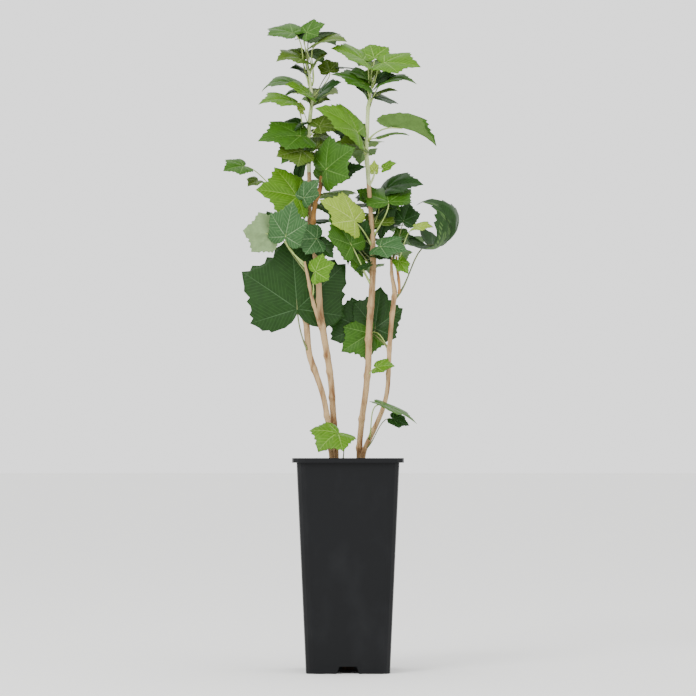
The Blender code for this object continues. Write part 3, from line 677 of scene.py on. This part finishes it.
def bark_relief(depth, knots):
    """Relief of the bark as a share of the radius: long grain, small lumps and a swelling at each knot."""
    def relief(centre, out):
        around, along, strength = BARK_GRAIN
        grain = noise.noise(Vector((out.x * around, out.y * around, centre.z * along))) * strength
        count, change, strength = BARK_LUMPS
        lump = noise.noise(centre * count + out * change) * strength
        swell = sum(KNOT_SWELL * math.exp(-(((centre.z / MM - knot) / KNOT_LENGTH) ** 2)) for knot in knots)
        return depth * (grain + lump) + swell * max(KNOT_LEAST, KNOT_MEAN + out.dot(Vector(KNOT_SIDE)))
    return relief


def stem_stations(shoot_name, low, high):
    count = max(2, round((high - low) / STEM_STEP))
    return [SHOOTS[shoot_name].at((low + (high - low) * i / count) * MM) for i in range(count + 1)]


def colour(code):
    """An sRGB hex colour as linear light."""
    parts = [int(code[i:i + 2], 16) / 255 for i in (0, 2, 4)]
    return (*[p / 12.92 if p <= 0.04045 else ((p + 0.055) / 1.055) ** 2.4 for p in parts], 1)


def shaded(code, factor):
    """A hex colour as linear light, darker or lighter by this factor."""
    return (*[min(part * factor, 1) for part in colour(code)[:3]], 1)


def add(tree, kind, settings=None, **links):
    """A node with its settings, by name or input number; each link, such as i0, gives an input its source."""
    node = tree.nodes.new(kind)
    for name, value in (settings or {}).items():
        if isinstance(name, int) or name in node.inputs:
            node.inputs[name].default_value = value
        else:
            setattr(node, name, value)
    for name, source in links.items():
        tree.links.new(source, node.inputs[int(name[1:])])
    return node


def finish(name, code, roughness, second=None, drawn=(1, 1, 1), patch=12.5, share=0.5, bump=0.0, grain=3.33,
           shine=0.4):
    """A matt or satin surface: two colours in patches and a fine grain, both of a size in millimetres.

    drawn scales the pattern along each axis, and share is where the first colour gives way to the second.
    """
    made = bpy.data.materials.new(name)
    made.use_nodes = True
    tree = made.node_tree
    shader = tree.nodes["Principled BSDF"]
    shader.inputs["Roughness"].default_value = roughness
    shader.inputs["Specular IOR Level"].default_value = shine
    shader.inputs["Base Color"].default_value = colour(code)
    place = add(tree, "ShaderNodeTexCoord")
    mapped = add(tree, "ShaderNodeMapping", {"Scale": drawn}, i0=place.outputs["Object"])
    if second:
        settings = {"Scale": 1 / (patch * MM), "Detail": 5.0}
        patches = add(tree, "ShaderNodeTexNoise", settings, i0=mapped.outputs[0])
        ramp = add(tree, "ShaderNodeValToRGB", i0=patches.outputs[0])
        stops = ramp.color_ramp.elements
        stops[0].position = share - PATCH_EDGE
        stops[0].color = colour(code)
        stops[1].position = share + PATCH_EDGE
        stops[1].color = colour(second)
        tree.links.new(ramp.outputs[0], shader.inputs["Base Color"])
    if bump:
        settings = {"Scale": 1 / (grain * MM), "Detail": 4.0}
        height = add(tree, "ShaderNodeTexNoise", settings, i0=mapped.outputs[0])
        settings = {"Strength": bump, "Distance": GRAIN_DEPTH * MM}
        raised = add(tree, "ShaderNodeBump", settings, i2=height.outputs[0])
        tree.links.new(raised.outputs[0], shader.inputs["Normal"])
    return made


def leaf_finish(name, code, vein_code, roughness, bump):
    """Leaf skin: side veins in a herringbone off the blade's own map, paler and sunk, and a soft mottle."""
    made = bpy.data.materials.new(name)
    made.use_nodes = True
    tree = made.node_tree
    shader = tree.nodes["Principled BSDF"]
    shader.inputs["Roughness"].default_value = roughness
    shader.inputs["Specular IOR Level"].default_value = LEAF_SHINE
    flat = add(tree, "ShaderNodeUVMap", {"uv_map": "blade"})
    split = add(tree, "ShaderNodeSeparateXYZ", i0=flat.outputs[0])
    away = add(tree, "ShaderNodeMath", {"operation": "ABSOLUTE"}, i0=split.outputs[0])
    slant = add(tree, "ShaderNodeMath", {"operation": "MULTIPLY", 1: SIDE_VEIN_SLANT}, i0=away.outputs[0])
    row = add(tree, "ShaderNodeMath", {"operation": "SUBTRACT"}, i0=split.outputs[1], i1=slant.outputs[0])
    fold = add(tree, "ShaderNodeMath", {"operation": "PINGPONG", 1: SIDE_VEIN_SPACING / 2}, i0=row.outputs[0])
    settings = {
        "interpolation_type": "SMOOTHSTEP",
        "From Min": 0.0,
        "From Max": SIDE_VEIN_EDGE,
        "To Min": 1.0,
        "To Max": 0.0,
    }
    line = add(tree, "ShaderNodeMapRange", settings, i0=fold.outputs[0])
    place = add(tree, "ShaderNodeTexCoord")
    settings = {"Scale": 1 / (MOTTLE * MM), "Detail": 4.0}
    mottle = add(tree, "ShaderNodeTexNoise", settings, i0=place.outputs["Object"])
    settings = {"data_type": "RGBA", 6: shaded(code, MOTTLE_DARK), 7: shaded(code, MOTTLE_LIGHT)}
    tint = add(tree, "ShaderNodeMix", settings, i0=mottle.outputs[0])
    weak = add(tree, "ShaderNodeMath", {"operation": "MULTIPLY", 1: SIDE_VEIN_STRENGTH}, i0=line.outputs[0])
    settings = {"data_type": "RGBA", 7: colour(vein_code)}
    base = add(tree, "ShaderNodeMix", settings, i0=weak.outputs[0], i6=tint.outputs[2])
    tree.links.new(base.outputs[2], shader.inputs["Base Color"])
    settings = {"Strength": bump, "Distance": SIDE_VEIN_DEPTH * MM, "invert": True}
    raised = add(tree, "ShaderNodeBump", settings, i2=line.outputs[0])
    tree.links.new(raised.outputs[0], shader.inputs["Normal"])
    return made


def place_mesh(bm, name, finishes, slot, *nodes):
    """The mesh as a piece of the plant that stands for these nodes."""
    bmesh.ops.recalc_face_normals(bm, faces=bm.faces)
    mesh = bpy.data.meshes.new(name)
    bm.to_mesh(mesh)
    bm.free()
    for made in finishes:
        mesh.materials.append(made)
    piece = bpy.data.objects.new(name, mesh)
    bpy.context.scene.collection.objects.link(piece)
    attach(piece, "root")
    if nodes:
        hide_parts(*nodes)


def dress(node, made):
    """Give a node of the solids that stays in sight its material."""
    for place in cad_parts[node].material_slots:
        place.material = made


def leaf_skins():
    """Living currant leaf: a satin skin that shows soft highlights, and a dull, paler underside."""
    skins = []
    for tone, face, vein, under in LEAF_COLOURS:
        skins.append(leaf_finish(f"currant_leaf_{tone}", face, vein, roughness=0.42, bump=0.5))
        skins.append(leaf_finish(f"currant_leaf_{tone}_underside", under, vein, roughness=0.7, bump=0.35))
        skins.append(finish(f"currant_leaf_{tone}_vein", vein, roughness=0.5))
    return skins


def leaves():
    """Blades and stalks of all leaves. The low front one rises straight from the potting mix."""
    skins = leaf_skins()
    blades_bm = bmesh.new()
    blade_map = blades_bm.loops.layers.uv.new("blade")
    stalks_bm = bmesh.new()
    for leaf, shoot_name, tone in all_leaves():
        leaf_sheet(blades_bm, blade_map, leaf, TONES.index(tone))
        foot, away = stalk_start(leaf, SHOOTS[shoot_name])
        # Leaves of the d tone, in painted shade, get the darker stalk: painted shade as well.
        stalk_tone = DARK_STALK if tone == "d" else FRESH_STALK
        ring_tube(stalks_bm, stalk_stations(leaf, foot, away), STALK_SIDES, index=stalk_tone)
    leaf_sheet(blades_bm, blade_map, LOW_FRONT, TONES.index("b"))
    foot = Vector((*LOW_FRONT_FOOT, SOIL_LEVEL / MM)) * MM
    stations = stalk_stations(LOW_FRONT, foot, Vector(LOW_FRONT_RISE).normalized())
    ring_tube(stalks_bm, stations, STALK_SIDES, index=DARK_STALK)
    place_mesh(blades_bm, "currant_leaf_blades", skins, "foliage", *LEAFY_NODES)

    # Leaf stalks, smooth and soft: fresh green, and a darker dull brownish green on the low front leaf and, as
    # painted shade, on the leaves of the d tone.
    stalk_finishes = (
        finish("leaf_stalk_fresh", "A3B86A", 0.55, "8FA552", patch=8.33),
        finish("leaf_stalk_dark", "6F7A45", 0.6, "59643A", patch=8.33),
    )
    place_mesh(stalks_bm, "currant_leaf_stalks", stalk_finishes, "foliage")


def canes():
    """Canes and shoots in currant bark: thin, papery and dull, with brown flakes drawn out along the cane."""
    bm = bmesh.new()
    for shoot_name, low, high, knots, kind in STEMS:
        depth = GREEN_WOOD_DEPTH if kind == GREEN_WOOD else BARK_DEPTH
        ring_tube(bm, stem_stations(shoot_name, low, high), STEM_SIDES, bark_relief(depth, knots), index=kind)
    bark_finishes = (
        finish("currant_bark_tan", "AC9068", 0.85, "6E4A28", (1, 1, 0.22), 6.67, 0.58, 0.6, 3.85),
        finish("currant_green_wood", "C9D3A0", 0.6, "A9BC77", (1, 1, 0.3), 11.1, 0.5, 0.25, 5),
        finish("currant_bark_brown", "A9793F", 0.75, "6B4726", (1, 1, 0.25), 6.67, 0.55, 0.6, 3.85),
    )
    place_mesh(bm, "currant_bark", bark_finishes, "currant_bark", *CANE_NODES)


def pot():
    """Moulded polypropylene, near black: a satin skin with greyer clouds, a few centimetres across."""
    made = finish("pot_moulded_polypropylene", "101113", 0.5, "18191B", (1, 1, 0.6), patch=38.5, share=0.62,
                  bump=0.12, grain=1.11, shine=0.15)
    dress("pot", made)


def potting_mix():
    """Dull fibrous peat, brown-black with lighter bark crumbs, some of them loose on top."""
    peat = finish("peat_potting_mix", "2A1D14", 0.95, "5A4330", patch=3.85, share=0.6, bump=0.9, grain=2)
    dress("potting_mix", peat)
    bm = bmesh.new()
    bmesh.ops.create_grid(bm, x_segments=SHEET_CELLS, y_segments=SHEET_CELLS, size=SHEET_HALF_WIDTH)
    for vert in bm.verts:
        edge = max(abs(vert.co.x), abs(vert.co.y)) / SHEET_HALF_WIDTH
        past_corner = abs(vert.co.x) + abs(vert.co.y) - SHEET_CORNER * SHEET_HALF_WIDTH
        if past_corner > 0:
            vert.co *= 1 - past_corner / vert.co.xy.length / 2
        rough = SHEET_LEVEL + sum(strength * noise.noise(vert.co * count) for count, strength in SHEET_BUMPS)
        vert.co.z = SOIL_LEVEL + SHEET_CLEAR + SHEET_RISE * max(rough, 0) * (1 - edge**8)
    rng = random.Random(CRUMB_SEED)
    for _ in range(CRUMBS):
        size = rng.uniform(*CRUMB_SIZE)
        angle = rng.uniform(0, CRUMB_TURN)
        turn = Matrix.Rotation(angle, 4, Vector((rng.uniform(-1, 1), rng.uniform(-1, 1), 1)))
        x, y = rng.uniform(-CRUMB_REACH, CRUMB_REACH), rng.uniform(-CRUMB_REACH, CRUMB_REACH)
        spot = Matrix.Translation((x, y, SOIL_LEVEL + CRUMB_HEIGHT))
        shape = Matrix.Diagonal((*[size * part for part in CRUMB_SHAPE], 1))
        bmesh.ops.create_icosphere(bm, subdivisions=1, radius=1, matrix=spot @ turn @ shape)
    place_mesh(bm, "potting_mix_surface", (peat,), "potting_mix")


def stage():
    """A plain pale floor and wide soft light from the front left, with a weaker one from the right."""
    bm = bmesh.new()
    bmesh.ops.create_grid(bm, x_segments=1, y_segments=1, size=FLOOR_HALF_WIDTH)
    mesh = bpy.data.meshes.new("floor")
    bm.to_mesh(mesh)
    bm.free()
    floor = bpy.data.objects.new("floor", mesh)
    bpy.context.scene.collection.objects.link(floor)
    mesh.materials.append(finish("floor_matt_white", "F4F4F2", 0.9))
    world = bpy.data.worlds.new("studio")
    bpy.context.scene.world = world
    world.use_nodes = True
    world.node_tree.nodes["Background"].inputs["Color"].default_value = (1, 1, 1, 1)
    world.node_tree.nodes["Background"].inputs["Strength"].default_value = WORLD_LIGHT
    for name, place, size, power in LAMPS:
        data = bpy.data.lights.new(name, "AREA")
        data.size = size
        data.energy = power
        lamp = bpy.data.objects.new(name, data)
        lamp.location = place
        aim = Vector(LAMP_AIM) - Vector(place)
        lamp.rotation_euler = aim.to_track_quat("-Z", "Y").to_euler()
        bpy.context.scene.collection.objects.link(lamp)


def camera():
    """The photograph's view: from the front, at the height of the pot's rim."""
    data = bpy.data.cameras.new("camera")
    data.lens = CAMERA_LENS
    data.sensor_width = SENSOR_WIDTH
    made = bpy.data.objects.new("camera", data)
    made.location = CAMERA_PLACE
    made.rotation_euler = (math.radians(90 + CAMERA_TIP), 0, 0)
    bpy.context.scene.collection.objects.link(made)
    bpy.context.scene.camera = made


leaves()
canes()
pot()
potting_mix()
stage()
camera()
bpy.context.view_layer.update()
